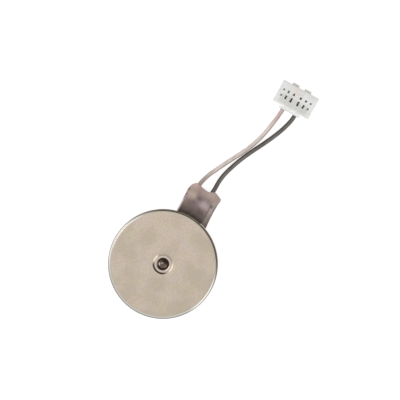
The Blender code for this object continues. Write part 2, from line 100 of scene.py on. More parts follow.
def turned(profile, turns, centre=(0, 0)):
    # (radius, height) carried round the vertical axis: x = r cos a, y = r sin a
    profile = np.asarray(profile, float)
    x = centre[0] + profile[:, None, 0] * np.cos(turns)
    y = centre[1] + profile[:, None, 0] * np.sin(turns)
    return np.stack([x, y, np.broadcast_to(profile[:, None, 1], x.shape)], -1)


def fullTurn(count):
    return np.linspace(0, 2 * pi, count, endpoint=False)


def smoothStep(value, start, end):
    # 0 before start, 1 after end, with level ends: 3 t squared less 2 t cubed
    t = np.clip((value - start) / (end - start), 0, 1)
    return t * t * (3 - 2 * t)


def alongRoute(route, samples):
    # the cubic through the route's points, each tangent half the step between its neighbours
    route = np.asarray(route, float)
    ends = np.concatenate([[2 * route[0] - route[1]], route, [2 * route[-1] - route[-2]]])
    place = np.linspace(0, len(route) - 1 - 1e-9, samples)
    i = place.astype(int)
    t = (place - i)[:, None]
    start, end = route[i], route[i + 1]
    leave, arrive = (end - ends[i]) / 2, (ends[i + 3] - start) / 2
    return ((2 * t**3 - 3 * t**2 + 1) * start + (t**3 - 2 * t**2 + t) * leave
            + (3 * t**2 - 2 * t**3) * end + (t**3 - t**2) * arrive)


def swept(path, sideways, upward):
    # a section of (sideways, upward) offsets carried along a path, kept upright
    tangent = np.gradient(path, axis=0)
    tangent /= np.linalg.norm(tangent, axis=1, keepdims=True)
    side = np.cross(tangent, [0.0, 0.0, 1.0])
    side /= np.linalg.norm(side, axis=1, keepdims=True)
    up = np.cross(side, tangent)
    return path[:, None] + sideways[..., None] * side[:, None] + upward[..., None] * up[:, None]


def thicken(piece, sheet):
    # gives an open surface a wall of this many mm, on its inner side
    wall = piece.modifiers.new("sheet", "SOLIDIFY")
    wall.thickness, wall.offset = sheet * mm, -1.0


def finishPiece(piece, body, slot, material, *nodes):
    piece.data.materials.append(material)
    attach(piece, body)
    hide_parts(*nodes)
    print("made", piece.name)


# materials

def linearColour(hexColour):
    channels = np.array([int(hexColour[i:i + 2], 16) / 255 for i in (1, 3, 5)])
    low, high = channels / 12.92, ((channels + 0.055) / 1.055) ** 2.4
    return (*np.where(channels <= 0.04045, low, high), 1.0)


def perMetre(size):
    # the texture scale at which one feature is about this many mm
    return 1 / (size * mm)


def inMetres(pair):
    return [value * mm for value in pair]


def addNode(tree, kind, inputs=None, **settings):
    # an input given as a socket is linked, a hex string is set as a colour, and the rest as values
    node = tree.nodes.new(kind)
    for name, value in settings.items():
        setattr(node, name, value)
    for socket, given in (inputs or {}).items():
        if isinstance(given, bpy.types.NodeSocket):
            tree.links.new(given, node.inputs[socket])
        else:
            value = linearColour(given) if isinstance(given, str) else given
            node.inputs[socket].default_value = value
    return node


def startMaterial(name, metallic, roughness):
    material = bpy.data.materials.new(name)
    material.use_nodes = True
    tree = material.node_tree
    shader = tree.nodes["Principled BSDF"]
    shader.inputs["Metallic"].default_value = metallic
    shader.inputs["Roughness"].default_value = roughness
    place = addNode(tree, "ShaderNodeTexCoord").outputs["Object"]
    return material, tree, shader, place


def clouds(tree, place, size, detail=2.0, stretch=(1, 1, 1)):
    # soft noise whose patches are about this many mm, drawn out along an axis by a low stretch
    drawn = addNode(tree, "ShaderNodeMapping", {"Vector": place, "Scale": stretch}).outputs[0]
    inputs = {"Vector": drawn, "Scale": perMetre(size), "Detail": detail}
    return addNode(tree, "ShaderNodeTexNoise", inputs).outputs["Fac"]


def distanceTo(tree, place, centre):
    # the distance from an upright line through centre, given in mm
    flat = addNode(tree, "ShaderNodeVectorMath", {0: place, 1: (1, 1, 0)}, operation="MULTIPLY")
    point = (centre[0] * mm, centre[1] * mm, 0)
    inputs = {0: flat.outputs[0], 1: point}
    return addNode(tree, "ShaderNodeVectorMath", inputs, operation="DISTANCE").outputs["Value"]


def shareOf(tree, ramps):
    # the product of smooth ramps: a ramp is its source, where it starts, where it ends, and its two
    # levels if not 0 and 1
    share = 1.0
    for source, start, end, *levels in ramps:
        low, high = levels or (0.0, 1.0)
        ramp = addNode(tree, "ShaderNodeMapRange", {0: source, 1: start, 2: end, 3: low, 4: high},
                       interpolation_type="SMOOTHSTEP")
        inputs = {0: ramp.outputs[0], 1: share}
        share = addNode(tree, "ShaderNodeMath", inputs, operation="MULTIPLY").outputs[0]
    return share


def painted(tree, colour, *layers):
    # lays tints over a colour: a layer is its tint and the ramps that give its share
    for tint, *ramps in layers:
        inputs = {0: shareOf(tree, ramps), 6: colour, 7: tint}
        colour = addNode(tree, "ShaderNodeMix", inputs, data_type="RGBA").outputs[2]
    return colour


def relief(tree, shader, height, depth):
    # bumps of this depth in mm, from the pattern's black to its white
    bump = addNode(tree, "ShaderNodeBump", {"Height": height, "Distance": depth * mm})
    tree.links.new(bump.outputs["Normal"], shader.inputs["Normal"])


def speckled(name, dark, light, size, metallic, roughness, depth=0.001, spread=0.08, stretch=(1, 1, 1)):
    # a finish of two near colours in patches of one size, with its gloss and relief following them
    material, tree, shader, place = startMaterial(name, metallic, roughness)
    grain = clouds(tree, place, size, 3.0, stretch)
    tree.links.new(painted(tree, dark, (light, (grain, 0.35, 0.65))), shader.inputs["Base Color"])
    levels = {0: grain, 1: 0.3, 2: 0.7, 3: roughness + spread, 4: roughness - spread}
    tree.links.new(addNode(tree, "ShaderNodeMapRange", levels).outputs[0], shader.inputs["Roughness"])
    relief(tree, shader, grain, depth)
    return material


# camera and light

cameraSet = {
    "aim": (6.736, -0.126),   # the point straight below the lens, mm
    "turn": -61.0,            # degrees about the vertical
    "height": 450.0,          # mm above the resting surface
    "width": 36.50,           # mm across the view, at levelSeen
    "levelSeen": 1.6,
}


def makeCamera():
    s = cameraSet
    data = bpy.data.cameras.new("camera")
    data.sensor_width = 36.0
    data.lens = data.sensor_width * (s["height"] - s["levelSeen"]) / s["width"]
    data.clip_start, data.clip_end = 0.01, 10.0
    camera = bpy.data.objects.new("camera", data)
    camera.location = inMetres((*s["aim"], s["height"]))
    camera.rotation_euler = (0.0, 0.0, radians(s["turn"]))
    bpy.context.scene.collection.objects.link(camera)
    bpy.context.scene.camera = camera


lightSet = {
    # a white tent: how bright it is overhead and near the table, and its plain look behind the object
    "room": 0.81, "roomLow": 0.90, "backdrop": 0.95,
    # where the tent is open to the dark room: azimuth, half width fully dark and back to white,
    # elevation fully dark below and white above, brightness and tint
    "darkAzimuth": -13.0, "darkHalf": (40.0, 72.0), "darkTop": (50.0, 67.0),
    "darkSide": 0.08, "darkTint": "#FFE9CB",
    # the far wall's light strip in the opening: half width, elevation faded out and full at its
    # foot, full and faded out at its top, brightness
    "strip": ((60.0, 90.0), (-22.0, -10.0), (12.0, 24.0), 0.36),
    # brighter and dimmer sides, each over the one before: azimuth, half width full and faded out,
    # elevation full and faded out, brightness
    "sides": ((160.0, (60.0, 90.0), (46.0, 68.0), 1.16), (-105.0, (30.0, 60.0), (56.0, 74.0), 1.12),
              (184.0, (44.0, 66.0), (24.0, 34.0), 0.62),
              (92.0, (14.0, 30.0), (34.0, 46.0), 1.55), (-98.0, (10.0, 26.0), (58.0, 74.0), 1.55)),
    # elevations between which those sides, and the opening, fade in from below
    "sideFoot": (-15.0, 0.0), "darkFoot": (-90.0, -80.0),
    "underTable": 0.22,       # what a metal edge mirrors below the horizon
    # heights on the unit sphere: the tent's change overhead, the fall below, and the horizon's edge
    "roomRise": (0.1, 0.8), "tableFall": (0.0, -0.7), "horizon": (0.0, -0.02),
}


def makeWorld():
    # brightness as a function of direction: the tent, then each brighter side, then the opening
    s = lightSet
    world = bpy.data.worlds.new("softTent")
    bpy.context.scene.world = world
    world.use_nodes = True
    tree = world.node_tree
    tree.nodes.clear()
    way = addNode(tree, "ShaderNodeTexCoord").outputs["Generated"]
    height = addNode(tree, "ShaderNodeSeparateXYZ", {0: way}).outputs["Z"]
    flat = addNode(tree, "ShaderNodeVectorMath", {0: way, 1: (1, 1, 0)}, operation="MULTIPLY")
    level = addNode(tree, "ShaderNodeVectorMath", {0: flat.outputs[0]}, operation="NORMALIZE").outputs[0]

    def sector(azimuth, half, top, foot):
        # 1 inside a sector of the horizon between two heights, easing to 0 all round
        toward = (cos(radians(azimuth)), sin(radians(azimuth)), 0)
        facing = addNode(tree, "ShaderNodeVectorMath", {0: level, 1: toward}, operation="DOT_PRODUCT")
        return shareOf(tree, ((facing.outputs["Value"], *[cos(radians(a)) for a in half[::-1]]),
                              (height, *[sin(radians(a)) for a in top[::-1]]),
                              (height, *[sin(radians(a)) for a in foot])))

    (rise, full), (edge, deep), (start, sunk) = s["roomRise"], s["tableFall"], s["horizon"]
    levels = {0: height, 1: rise, 2: full, 3: s["roomLow"], 4: s["room"]}
    above = addNode(tree, "ShaderNodeMapRange", levels)
    levels = {0: height, 1: edge, 2: deep, 3: s["roomLow"], 4: s["underTable"]}
    under = addNode(tree, "ShaderNodeMapRange", levels)
    buried = addNode(tree, "ShaderNodeMapRange", {0: height, 1: start, 2: sunk})
    inputs = {0: buried.outputs[0], 2: above.outputs[0], 3: under.outputs[0]}
    shade = addNode(tree, "ShaderNodeMix", inputs).outputs[0]
    for azimuth, half, top, strength in s["sides"]:
        mask = sector(azimuth, half, top, s["sideFoot"])
        shade = addNode(tree, "ShaderNodeMix", {0: mask, 2: shade, 3: strength}).outputs[0]
    opening = sector(s["darkAzimuth"], s["darkHalf"], s["darkTop"], s["darkFoot"])
    shade = addNode(tree, "ShaderNodeMix", {0: opening, 2: shade, 3: s["darkSide"]}).outputs[0]
    half, foot, top, strength = s["strip"]
    mask = sector(s["darkAzimuth"], half, top, foot)
    shade = addNode(tree, "ShaderNodeMix", {0: mask, 2: shade, 3: strength}).outputs[0]
    white = linearColour("#FFFFFF")
    tint = addNode(tree, "ShaderNodeMix", {0: opening, 6: white, 7: s["darkTint"]}, data_type="RGBA")
    studio = addNode(tree, "ShaderNodeBackground", {"Color": tint.outputs[2], "Strength": shade})
    backdrop = addNode(tree, "ShaderNodeBackground", {"Color": white, "Strength": s["backdrop"]})
    seen = addNode(tree, "ShaderNodeLightPath").outputs["Is Camera Ray"]
    both = addNode(tree, "ShaderNodeMixShader", {0: seen, 1: studio.outputs[0], 2: backdrop.outputs[0]})
    addNode(tree, "ShaderNodeOutputWorld", {"Surface": both.outputs[0]})


lampSet = {
    "elevation": 72.0,
    "azimuth": 78.0,
    "distance": 350.0,        # mm
    "size": 90.0,
    "power": 0.045,           # W
}


def makeLamp():
    s = lampSet
    data = bpy.data.lights.new("keyLamp", "AREA")
    data.shape = "DISK"
    data.size = s["size"] * mm
    data.energy = s["power"]
    lamp = bpy.data.objects.new("keyLamp", data)
    up, turn = radians(s["elevation"]), radians(s["azimuth"])
    toward = Vector((cos(up) * cos(turn), cos(up) * sin(turn), sin(up)))
    lamp.location = toward * s["distance"] * mm
    lamp.rotation_euler = toward.to_track_quat("Z", "Y").to_euler()
    lamp.visible_camera = False
    bpy.context.scene.collection.objects.link(lamp)


tableSet = {
    "half": 600.0,            # mm
    "drop": 0.01,             # the hair's breadth between it and the underside, mm
    "colour": "#A8A8A8", "glow": 0.80, "roughness": 0.6,
}


def makeTable():
    # backlit white acrylic: a pale floor that shows almost no shadow
    s = tableSet
    corners = [(x * s["half"], y * s["half"], -s["drop"]) for x, y in ((-1, -1), (1, -1), (1, 1), (-1, 1))]
    mesh = bpy.data.meshes.new("table")
    mesh.from_pydata([Vector(c) * mm for c in corners], [], [(0, 1, 2, 3)])
    table = bpy.data.objects.new("table", mesh)
    bpy.context.scene.collection.objects.link(table)
    material, tree, shader, place = startMaterial("backlitAcrylic", 0.0, s["roughness"])
    shader.inputs["Base Color"].default_value = linearColour(s["colour"])
    shader.inputs["Emission Color"].default_value = (1, 1, 1, 1)
    shader.inputs["Emission Strength"].default_value = s["glow"]
    mesh.materials.append(material)
    table.visible_glossy = False


makeCamera()
makeWorld()
makeLamp()
makeTable()
bpy.context.scene.view_settings.view_transform = "Standard"
print("camera and light ready")


# case

caseSet = {
    "sheet": 0.20, "rim": 0.02, "shoulder": 0.25, "insideCorner": 0.10,
    "dimpleFloor": 2.60, "dimpleRadii": (0.79, 0.94), "blend": 0.03,
    "holeRadius": 0.47, "holeMouth": 0.58, "holeDepth": 0.17,
    "landDrop": 0.004,        # the land round the hole is slightly crowned
    "notchHalf": 1.25, "notchTop": 0.62, "notchCorner": 0.08,
    "segments": 288,
    "plate": "#D8C8B5",
    # clouds of tint at one tone, then of tone, then a fine grain: colour, size and detail
    "clouds": (("#CFD0AE", 1.7, 4.0), ("#D4C4C5", 1.4, 4.0), ("#B1A18E", 2.0, 5.0), ("#B5A897", 0.17, 3.0)),
    "cloudShare": 0.35,
    "rolled": "#CCC8C0",      # the shoulder, painted whiter so that its highlights look white
    # distances from the axis, and for the shoulder also heights, between which each of these comes in
    "landFrom": (0.80, 0.74), "footShadeFrom": (0.75, 0.785), "footShadeTo": (0.83, 0.80), "footShadeShare": 0.6,
    "rolledFrom": (4.72, 4.80), "rolledOver": (2.42, 2.50),
    "outerGloss": (4.68, 4.78), "dimpleGloss": (1.00, 0.96),
    "land": "#DACDC2", "footShade": "#6E6256",   # the lighter ring round the hole, and painted shade in the crease at its foot
    "grain": 0.16, "satin": 0.30, "satinSpread": 0.02, "burnished": 0.13,
}


def nickelPlate():
    # bright nickel on deep-drawn steel: a warm satin face with faint clouds and a fine grain, burnished
    # where the die rolled it. The shoulder is painted whiter so that its highlights look white, the ring
    # round the hole is lighter, and painted shade darkens the crease at the dimple's foot. Clouds and grain
    # are coarser than real plating, so that they show
    s = caseSet
    material, tree, shader, place = startMaterial("nickelPlatedPressing", 1.0, s["satin"])
    reach = distanceTo(tree, place, (0, 0))
    height = addNode(tree, "ShaderNodeSeparateXYZ", {0: place}).outputs["Z"]
    colour = s["plate"]
    for shade, size, detail in s["clouds"]:
        ramp = (clouds(tree, place, size, detail), 0.36, 0.64, 0.0, s["cloudShare"])
        colour = painted(tree, colour, (shade, ramp))
    # a lighter ring round the hole, and painted shade in the crease at the dimple's foot
    dimpleFoot = [(reach, *inMetres(s["footShadeFrom"])), (reach, *inMetres(s["footShadeTo"]), 0.0, s["footShadeShare"])]
    colour = painted(tree, colour,
                     (s["land"], (reach, *inMetres(s["landFrom"]))),
                     (s["footShade"], *dimpleFoot),
                     # the shoulder painted whiter so that its highlights look white
                     (s["rolled"], (reach, *inMetres(s["rolledFrom"])), (height, *inMetres(s["rolledOver"]))))
    tree.links.new(colour, shader.inputs["Base Color"])
    grain = clouds(tree, place, s["grain"])
    levels = {0: grain, 1: 0.3, 2: 0.7, 3: s["satin"] - s["satinSpread"], 4: s["satin"] + s["satinSpread"]}
    gloss = addNode(tree, "ShaderNodeMapRange", levels).outputs[0]
    for edge in ("outerGloss", "dimpleGloss"):
        start, end = inMetres(s[edge])
        share = addNode(tree, "ShaderNodeMapRange", {0: reach, 1: start, 2: end}).outputs[0]
        gloss = addNode(tree, "ShaderNodeMix", {0: share, 2: gloss, 3: s["burnished"]}).outputs[0]
    tree.links.new(gloss, shader.inputs["Roughness"])
    relief(tree, shader, grain, 0.0004)
    return material


def makeCase():
    # a closed loop of (radius, height) turned about the axis; rim points rise with the notch
    s = caseSet
    low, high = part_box("case")
    radius, top = high.y / mm, high.z / mm
    wall, under = radius - s["sheet"], top - s["sheet"]
    floorR, rimR = s["dimpleRadii"]
    floorZ, b = s["dimpleFloor"], s["blend"]
    underFloor = under - (top - floorZ) + 0.01
    slope = np.degrees(np.arctan2(top - floorZ, rimR - floorR))
    mouth = arcOf((s["holeMouth"] + 0.03, floorZ - s["landDrop"] - 0.03), 0.03, 165, 100, 6)
    across = np.linspace(0, 1, 7)[1:]
    landR = mouth[-1][0] + (floorR - 0.035 - mouth[-1][0]) * across
    land = np.stack([landR, mouth[-1][1] + s["landDrop"] * np.sin(pi * across) ** 0.7], -1)
    foot = arcOf((floorR - b * np.tan(radians(slope / 2)), floorZ - s["landDrop"] + b), b, -90, slope - 90, 5)
    brow = arcOf((rimR + b * np.tan(radians(slope / 2)), top - b), b, slope + 90, 90, 5)
    shoulder = arcOf((radius - s["shoulder"], top - s["shoulder"]), s["shoulder"], 90, 0, 17)
    rimOut = arcOf((radius - 0.03, s["rim"] + 0.03), 0.03, 0, -90, 4)
    rimIn = arcOf((wall + 0.02, s["rim"] + 0.02), 0.02, -90, -180, 3)
    corner = arcOf((wall - s["insideCorner"], under - s["insideCorner"]), s["insideCorner"], 0, 90, 6)
    upper = np.concatenate([
        [(s["holeRadius"], underFloor), (s["holeRadius"], floorZ - s["holeDepth"])],
        mouth, land, foot, brow,
        np.stack([np.linspace(1.3, 4.6, 9), np.full(9, top)], -1),
        shoulder,
        [(radius, 1.8), (radius, 1.1)],
    ])
    lower = np.concatenate([rimOut, rimIn])
    inner = np.concatenate([
        [(wall, 1.1), (wall, 1.8)],
        corner,
        [(3.0, under), (rimR + 0.07, under), (floorR + 0.09, underFloor)],
    ])
    profile = np.concatenate([upper, lower, inner])
    lifts = np.concatenate([np.zeros(len(upper)), np.ones(len(lower)), np.zeros(len(inner))])
    edge = np.arcsin(s["notchHalf"] / radius)
    near = edge + np.linspace(-1, 1, 9) * s["notchCorner"] / radius
    turns = np.unique(np.round(np.concatenate([fullTurn(s["segments"]), near, 2 * pi - near]), 5))
    away = np.minimum(turns, 2 * pi - turns)
    lift = (s["notchTop"] - s["rim"]) * (1 - smoothStep(away, near[0], near[-1]))
    grid = turned(profile, turns)
    grid[..., 2] += lifts[:, None] * lift
    case = gridPiece("caseShell", grid, wrapRows=True)
    finishPiece(case, stator, "nickel_plated_steel", nickelPlate(), "case")


makeCase()


# shaft

shaftSet = {
    "domeRadius": 0.80, "bottom": 0.11, "segments": 96, "roughness": 0.20,
    "end": ("#574A43", "#70625A"), "side": ("#B6B4AF", "#CBC9C4"),
    "bright": (((0.018, 0.085), 0.15, "#857B77"), ((-0.18, 0.35), 0.22, "#BCB0A9")),   # painted highlights
}


def groundSteel():
    # hardened pin steel, ground: a dark end, with painted highlights at one spot and near one edge
    s = shaftSet
    material, tree, shader, place = startMaterial("groundPinSteel", 1.0, s["roughness"])
    height = addNode(tree, "ShaderNodeSeparateXYZ", {0: place}).outputs["Z"]
    film = clouds(tree, place, 0.12)
    end = painted(tree, s["end"][0], (s["end"][1], (film, 0.35, 0.65)))
    # painted highlights on the end
    for spot, size, colour in s["bright"]:
        end = painted(tree, end, (colour, (distanceTo(tree, place, spot), size * mm, size * mm / 4)))
    side = painted(tree, s["side"][0], (s["side"][1], (film, 0.3, 0.7)))
    colour = painted(tree, side, (end, (height, 2.30 * mm, 2.36 * mm)))
    tree.links.new(colour, shader.inputs["Base Color"])
    relief(tree, shader, film, 0.0008)
    return material


def makeShaft():
    # a cylinder under a spherical cap
    s = shaftSet
    low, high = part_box("shaft")
    radius, top = high.x / mm, high.z / mm
    reach = s["domeRadius"]
    half = np.degrees(np.arcsin((radius - 0.03) / reach))
    cap = arcOf((0, top - reach), reach, 89, 90 - half, 16)
    drop = cap[-1][1]
    profile = np.concatenate([cap, [(radius - 0.008, drop - 0.02), (radius, drop - 0.05), (radius, 1.2),
                                    (radius, s["bottom"] + 0.03), (radius - 0.03, s["bottom"])]])
    pin = gridPiece("shaftPin", turned(profile, fullTurn(s["segments"])), capped=True, crease=60)
    finishPiece(pin, stator, "ground_steel", groundSteel(), "shaft")


makeShaft()


# insulating film over the tongue

filmSet = {
    "gap": 0.03, "sheet": 0.045, "under": 0.02, "marginTop": 0.125,
    # the outline seen from above: side edges as (x, y), front edge as (y, x)
    "left": [(4.7, 1.30), (5.8, 1.31), (6.6, 1.33), (7.16, 1.35), (7.45, 1.29), (7.75, 1.17)],
    "right": [(4.6, -1.86), (5.2, -1.81), (5.6, -1.78), (6.4, -1.76), (7.1, -1.78), (7.5, -1.85),
              (7.75, -1.78)],
    "front": [(-1.80, 7.70), (-1.36, 7.90), (-1.03, 8.02), (-0.79, 7.90), (-0.49, 7.77), (-0.19, 7.76),
              (0.29, 7.86), (0.62, 7.96), (0.89, 8.00), (1.15, 7.74), (1.34, 7.45)],
    "tongue": (-1.20, 1.16),      # where the film climbs onto the tongue
    "deck": 0.48,                 # its height over the copper
    # between these half widths its back edge runs into the case's notch, to this radius
    "inNotch": (1.10, 1.24, 4.86),
    "leads": (0.62, -0.76), "leadRidge": 0.78,
    "joints": ((6.84, 0.68), (6.46, -0.75)), "jointTop": 0.90,
    # how it steps up onto the tongue, widens over a lead and a joint, and wrinkles
    "rightStep": (-0.14, 0.06), "leftStep": (-0.02, 0.13), "ridgeHalf": 0.36, "ridgeFrom": (5.8, 7.0),
    "jointSize": (0.62, 0.50), "jointPower": 1.3, "crinkle": 0.010,
    "rows": 84, "columns": 110,
    # where it lies on something: soft colour showing through, which over the joints' domes also holds painted
    # highlights and between them painted shade in the dip: place, reach, colour, and how strongly it shows
    "tints": (((6.88, 0.66), 0.75, "#CBB6A7", 0.80), ((6.44, -0.76), 0.70, "#C6B6B5", 0.80),
              # the first here is painted shade in the dip between the two joints
              ((6.82, -0.04), 0.36, "#6C5D5F", 0.75), ((7.16, 1.22), 0.22, "#7A6238", 0.9),
              ((6.66, 1.20), 0.18, "#7A6238", 0.7), ((7.86, 0.74), 0.52, "#CFA3A0", 0.75),
              ((6.70, -1.34), 0.30, "#54443D", 0.7), ((7.50, -1.40), 0.60, "#BCA096", 0.8),
              ((7.15, 0.98), 0.30, "#B79C7C", 0.5)),
    "film": ("#94817F", "#A2908E"), "farEnd": "#B8A29A", "margin": "#BDB0A8", "rim": "#8E827B",
    "foldLine": "#52423B", "strip": "#DEDAD6", "shade": "#61514A", "deepShade": "#422B20",
}


def smoothInterp(value, pairs):
    # straight lines between pairs, averaged over a short window so that corners are soft
    xs, ys = np.array(pairs).T
    shifts = np.linspace(-0.12, 0.12, 9)
    return np.mean([np.interp(value + d, xs, ys) for d in shifts], axis=0)


def filmHeight(x, y):
    # margins, a deck over the tongue, a ridge over each lead and a dome over each joint
    s = filmSet
    right, left = s["tongue"]
    inside = (smoothStep(y, *(right + step for step in s["rightStep"]))
              * (1 - smoothStep(y, *(left + step for step in s["leftStep"]))))
    height = s["marginTop"] + (s["deck"] - s["marginTop"]) * inside
    for ridge in s["leads"]:
        share = np.exp(-((y - ridge) / s["ridgeHalf"]) ** 2) * smoothStep(x, *s["ridgeFrom"])
        height += (s["leadRidge"] - height) * share
    long, wide = s["jointSize"]
    for atX, atY in s["joints"]:
        share = np.exp(-(((x - atX) / long) ** 2 + ((y - atY) / wide) ** 2) ** s["jointPower"])
        height += (s["jointTop"] - height) * share
    crinkle = s["crinkle"] * np.sin(5.1 * x + 2.3 * y) * np.sin(6.3 * y - 1.7 * x) * inside
    return height + crinkle


def brownFilm():
    # thin brown polyester tape, smooth and glossy: what it lies on shows through as soft tints, lighter over
    # the joints with painted highlights on their domes and painted shade in the dip between them, and it
    # darkens into the painted shadow at the case. Its mottle is coarser than the real film's, so that it
    # shows
    s = filmSet
    material, tree, shader, place = startMaterial("brownPolyesterFilm", 0.0, 0.36)
    parts = addNode(tree, "ShaderNodeSeparateXYZ", {0: place})
    x, y = parts.outputs["X"], parts.outputs["Y"]
    reach = distanceTo(tree, place, (0, 0))
    colour = painted(
        tree, s["film"][0],
        (s["film"][1], (clouds(tree, place, 0.8, 3.0), 0.35, 0.65)),
        (s["farEnd"], (x, 6.9 * mm, 7.6 * mm, 0.0, 0.9)),
        (s["margin"], (y, -1.22 * mm, -1.34 * mm, 0.0, 0.9)),
        (s["rim"], (y, -1.55 * mm, -1.68 * mm), (x, 7.2 * mm, 6.8 * mm, 0.0, 0.6)),
        (s["foldLine"], (y, -1.36 * mm, -1.28 * mm), (y, -1.20 * mm, -1.28 * mm),
         (x, 6.9 * mm, 6.6 * mm, 0.0, 0.7)),
    )
    # what shows through, with painted highlights on the joints' domes and painted shade in the dip between
    # them
    for spot, size, tint, share in s["tints"]:
        colour = painted(tree, colour, (tint, (distanceTo(tree, place, spot), size * mm, 0.0, 0.0, share)))
    overTongue = [(y, -1.36 * mm, -1.20 * mm, 0.35, 1.0), (y, 1.24 * mm, 1.16 * mm)]
    colour = painted(
        tree, colour,
        (s["shade"], (reach, 6.40 * mm, 5.30 * mm, 0.0, 0.84), *overTongue),
        (s["deepShade"], (reach, 5.48 * mm, 5.10 * mm, 0.0, 0.90), *overTongue),
        (s["strip"], (y, 1.16 * mm, 1.23 * mm), (x, 6.4 * mm, 6.0 * mm, 0.0, 0.9)),
    )
    tree.links.new(colour, shader.inputs["Base Color"])
    relief(tree, shader, clouds(tree, place, 0.35), 0.005)
    return material


def makeFilm():
    # the section is a loop: over the top from edge to edge, then back along the underside
    s = filmSet
    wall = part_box("case")[1].y / mm + s["gap"]
    across = np.linspace(0, 1, s["columns"])
    along = np.linspace(0, 1, s["rows"])[:, None]
    x = wall + along * (8.0 - wall) + 0 * across
    for _ in range(4):
        right, left = smoothInterp(x, s["right"]), smoothInterp(x, s["left"])
        y = right + (left - right) * across
        reach = wall + (s["inNotch"][2] - wall) * (1 - smoothStep(abs(y), *s["inNotch"][:2]))
        start = np.sqrt(reach**2 - y**2)     # the film's back edge follows the case
        x = start + along * (smoothInterp(y, s["front"]) - start)
    top = np.stack([x, y, filmHeight(x, y)], -1)
    inset = 0.012 * np.cos(pi * (2 * across - 1) / 2)
    bottom = np.stack([x, y, s["under"] + inset + 0 * x], -1)[:, ::-1]
    film = gridPiece("insulatingFilm", np.concatenate([top, bottom], 1), wrapColumns=True, crease=70)
    thicken(film, s["sheet"])
    finishPiece(film, stator, "brown_film", brownFilm(), "insulating_tape")


makeFilm()


# leads

leadSet = {
    "jacketRadius": 0.20, "wall": 0.075, "span": (7.80, 18.15),
    "endRound": 0.02, "endShare": 0.004,   # the jacket's rounded ends: depth, and share of its length
    "strandRadius": 0.105, "groove": 0.14,   # the groove between strands, as a share of that radius
    "lay": 1.6,               # mm for one turn of the strands
    "filmTint": (9.8, 8.2), "plugTint": (15.2, 17.6),   # where along x the ends' tints come in
    "sides": 40, "samples": 320,
    "red": [(6.20, 0.62, 0.50), (7.40, 0.62, 0.50), (8.20, 0.56, 0.46), (9.10, 0.29, 0.31),
            (10.00, -0.14, 0.22), (11.00, -0.64, 0.21), (12.00, -1.18, 0.21), (13.00, -1.69, 0.21),
            (14.00, -2.07, 0.21), (15.00, -2.34, 0.24), (16.00, -2.53, 0.34), (17.00, -2.67, 0.53),
            (17.70, -2.72, 0.62), (18.55, -2.72, 0.62)],
    "black": [(5.86, -0.74, 0.50), (7.40, -0.76, 0.50), (8.20, -0.82, 0.46), (9.10, -0.84, 0.32),
              (10.00, -0.99, 0.22), (11.00, -1.31, 0.21), (12.00, -1.70, 0.21), (13.00, -2.18, 0.21),
              (14.00, -2.70, 0.21), (15.00, -3.18, 0.22), (16.00, -3.59, 0.33), (17.00, -3.88, 0.52),
              (17.70, -3.96, 0.62), (18.55, -3.96, 0.62)],
    # insulation: dull, bright, at the film, at the plug, a painted shade on one flank, and from where to
    # where it leans there
    "redSkin": ("pinkSiliconeInsulation", "#D0C3BC", "#E3D8D2", "#A0958B", "#C2A4A4", "#B4978F",
                (0.25, 0.95)),
    "blackSkin": ("blackSiliconeInsulation", "#5A5550", "#736D67", "#61595A", "#5F5B57", "#2A2522",
                  (-0.1, -0.8)),
}


def leadSkin(name, dull, bright, atFilm, atPlug, edge, flank):
    # soft extruded insulation: satin, with faint lengthwise streaks, a painted shade on one flank and tinted
    # ends. The streaks are wider than the real ones, so that they show
    material, tree, shader, place = startMaterial(name, 0.0, 0.45)
    streak = clouds(tree, place, 0.25, 2.0, (0.25, 1.0, 1.0))
    x = addNode(tree, "ShaderNodeSeparateXYZ", {0: place}).outputs["X"]
    lean = addNode(tree, "ShaderNodeAttribute", attribute_name="lean").outputs["Fac"]
    colour = painted(tree, dull,
                     (bright, (streak, 0.35, 0.65)),
                     (atFilm, (x, *inMetres(leadSet["filmTint"]), 0.0, 0.9)),
                     (atPlug, (x, *inMetres(leadSet["plugTint"]), 0.0, 0.8)),
                     # painted shade on one flank
                     (edge, (lean, *flank)))
    tree.links.new(colour, shader.inputs["Base Color"])
    relief(tree, shader, clouds(tree, place, 0.09), 0.002)
    return material


